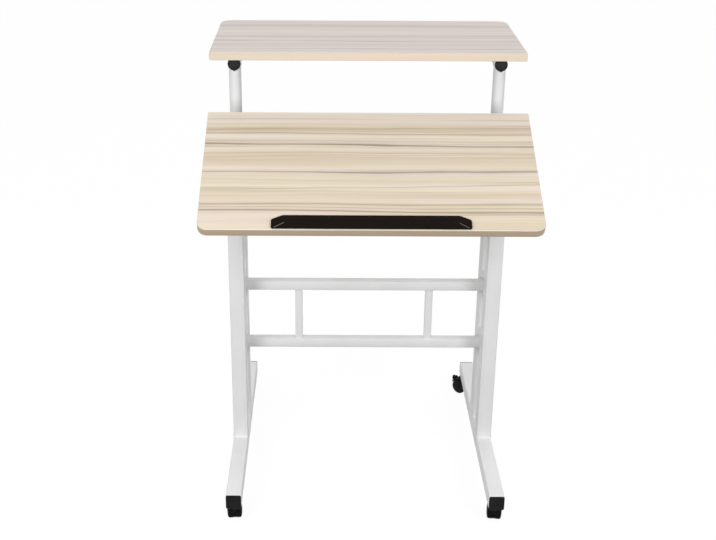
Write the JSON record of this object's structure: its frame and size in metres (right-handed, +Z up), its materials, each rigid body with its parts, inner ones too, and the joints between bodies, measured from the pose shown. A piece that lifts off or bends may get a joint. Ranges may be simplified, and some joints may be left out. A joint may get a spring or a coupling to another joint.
{
  "type": "rolling laptop table",
  "caption": "Rolling laptop table: a tilting, height-adjustable desktop with a stop ledge and a raised rear shelf on white tube-steel sides with cross rails and swivel castors.",
  "frame": {"origin": "on the floor, under the middle of the table's box", "axes": "+X to the right of a person who sits at the desktop, +Y to the back, towards the shelf, +Z up"},
  "size_m": [0.6, 0.6268, 0.874],
  "materials": {
    "frame_white": "white semi-gloss powder coat",
    "board_maple": "pale maple-look melamine on particle board",
    "ledge_black": "black matt powder coat",
    "plastic_black": "black moulded plastic",
    "castor_tread": "dark grey nylon",
    "fastener_steel": "zinc-plated steel"
  },
  "bodies": {
    "frame": {"foot_left": "frame_white", "foot_right": "frame_white", "foot_cap_front_left": "plastic_black", "foot_cap_front_right": "plastic_black", "foot_cap_rear_left": "plastic_black", "foot_cap_rear_right": "plastic_black", "upright_front_left": "frame_white", "upright_front_right": "frame_white", "upright_rear_left": "frame_white", "upright_rear_right": "frame_white", "collar_front_left": "plastic_black", "collar_front_right": "plastic_black", "collar_rear_left": "plastic_black", "collar_rear_right": "plastic_black", "spacer_upper_left": "frame_white", "spacer_upper_right": "frame_white", "spacer_lower_left": "frame_white", "spacer_lower_right": "frame_white", "rail_upper": "frame_white", "rail_lower": "frame_white", "strut_left": "frame_white", "strut_right": "frame_white"},
    "desk_carriage": {"lift_tube_left": "frame_white", "lift_tube_right": "frame_white", "lift_cap_left": "plastic_black", "lift_cap_right": "plastic_black", "pivot_bolt_left": "fastener_steel", "pivot_bolt_right": "fastener_steel", "tilt_bolt_left": "fastener_steel", "tilt_bolt_right": "fastener_steel"},
    "desk": {"desktop": "board_maple", "ledge": "ledge_black", "tilt_arm_left": "frame_white", "tilt_arm_right": "frame_white"},
    "shelf_carriage": {"shelf": "board_maple", "shelf_post_left": "frame_white", "shelf_post_right": "frame_white", "shelf_arm_left": "frame_white", "shelf_arm_right": "frame_white", "arm_plug_front_left": "plastic_black", "arm_plug_front_right": "plastic_black", "arm_plug_rear_left": "plastic_black", "arm_plug_rear_right": "plastic_black"},
    "knob_tilt_left": {"tilt_knob_left": "plastic_black"},
    "knob_tilt_right": {"tilt_knob_right": "plastic_black"},
    "knob_front_left": {"height_knob_front_left": "plastic_black"},
    "knob_front_right": {"height_knob_front_right": "plastic_black"},
    "knob_rear_left": {"height_knob_rear_left": "plastic_black"},
    "knob_rear_right": {"height_knob_rear_right": "plastic_black"},
    "castor_front_left": {"castor_housing_front_left": "plastic_black"},
    "castor_front_right": {"castor_housing_front_right": "plastic_black"},
    "castor_rear_left": {"castor_housing_rear_left": "plastic_black"},
    "castor_rear_right": {"castor_housing_rear_right": "plastic_black"},
    "wheels_front_left": {"castor_wheels_front_left": "castor_tread"},
    "wheels_front_right": {"castor_wheels_front_right": "castor_tread"},
    "wheels_rear_left": {"castor_wheels_rear_left": "castor_tread"},
    "wheels_rear_right": {"castor_wheels_rear_right": "castor_tread"},
    "pedal_left": {"brake_pedal_left": "plastic_black"},
    "pedal_right": {"brake_pedal_right": "plastic_black"}
  },
  "joints": [
    {"name": "desk_lift", "type": "slide", "parent": "frame", "child": "desk_carriage", "axis": [0, 0, 1], "range_m": [-0.08, 0.24]},
    {"name": "desk_tilt", "type": "hinge", "parent": "desk_carriage", "child": "desk", "pos_m": [0, -0.02713, 0.734], "axis": [1, 0, 0], "range_deg": [-26, 19]},
    {"name": "shelf_lift", "type": "slide", "parent": "frame", "child": "shelf_carriage", "axis": [0, 0, 1], "range_m": [-0.2, 0.23]},
    {"name": "tilt_knob_left_turn", "type": "hinge", "parent": "desk_carriage", "child": "knob_tilt_left", "pos_m": [-0.2673, -0.02713, 0.702], "axis": [-1, 0, 0], "range_deg": [0, 360]},
    {"name": "tilt_knob_right_turn", "type": "hinge", "parent": "desk_carriage", "child": "knob_tilt_right", "pos_m": [0.2673, -0.02713, 0.702], "axis": [1, 0, 0], "range_deg": [0, 360]},
    {"name": "height_knob_front_left_turn", "type": "hinge", "parent": "frame", "child": "knob_front_left", "pos_m": [-0.2763, -0.02713, 0.562], "axis": [-1, 0, 0], "range_deg": [0, 360]},
    {"name": "height_knob_front_right_turn", "type": "hinge", "parent": "frame", "child": "knob_front_right", "pos_m": [0.2763, -0.02713, 0.562], "axis": [1, 0, 0], "range_deg": [0, 360]},
    {"name": "height_knob_rear_left_turn", "type": "hinge", "parent": "frame", "child": "knob_rear_left", "pos_m": [-0.2763, 0.05787, 0.562], "axis": [-1, 0, 0], "range_deg": [0, 360]},
    {"name": "height_knob_rear_right_turn", "type": "hinge", "parent": "frame", "child": "knob_rear_right", "pos_m": [0.2763, 0.05787, 0.562], "axis": [1, 0, 0], "range_deg": [0, 360]},
    {"name": "castor_front_left_swivel", "type": "hinge", "parent": "frame", "child": "castor_front_left", "pos_m": [-0.255, -0.24163, 0.042], "axis": [0, 0, 1], "continuous": true},
    {"name": "castor_front_right_swivel", "type": "hinge", "parent": "frame", "child": "castor_front_right", "pos_m": [0.255, -0.24163, 0.042], "axis": [0, 0, 1], "continuous": true},
    {"name": "castor_rear_left_swivel", "type": "hinge", "parent": "frame", "child": "castor_rear_left", "pos_m": [-0.255, 0.27237, 0.042], "axis": [0, 0, 1], "continuous": true},
    {"name": "castor_rear_right_swivel", "type": "hinge", "parent": "frame", "child": "castor_rear_right", "pos_m": [0.255, 0.27237, 0.042], "axis": [0, 0, 1], "continuous": true},
    {"name": "wheels_front_left_roll", "type": "hinge", "parent": "castor_front_left", "child": "wheels_front_left", "pos_m": [-0.25631, -0.22669, 0.017], "axis": [0.9962, 0.0872, 0], "continuous": true},
    {"name": "wheels_front_right_roll", "type": "hinge", "parent": "castor_front_right", "child": "wheels_front_right", "pos_m": [0.25709, -0.22678, 0.017], "axis": [0.9903, -0.1392, 0], "continuous": true},
    {"name": "wheels_rear_left_roll", "type": "hinge", "parent": "castor_rear_left", "child": "wheels_rear_left", "pos_m": [-0.26949, 0.27625, 0.017], "axis": [0.2588, 0.9659, 0], "continuous": true},
    {"name": "wheels_rear_right_roll", "type": "hinge", "parent": "castor_rear_right", "child": "wheels_rear_right", "pos_m": [0.24403, 0.2826, 0.017], "axis": [0.682, 0.7314, 0], "continuous": true},
    {"name": "brake_left_press", "type": "hinge", "parent": "castor_rear_left", "child": "pedal_left", "pos_m": [-0.2877, 0.28113, 0.0307], "axis": [-0.2588, -0.9659, 0], "range_deg": [0, 20]},
    {"name": "brake_right_press", "type": "hinge", "parent": "castor_rear_right", "child": "pedal_right", "pos_m": [0.23024, 0.29545, 0.0307], "axis": [-0.682, -0.7314, 0], "range_deg": [0, 20]}
  ]
}
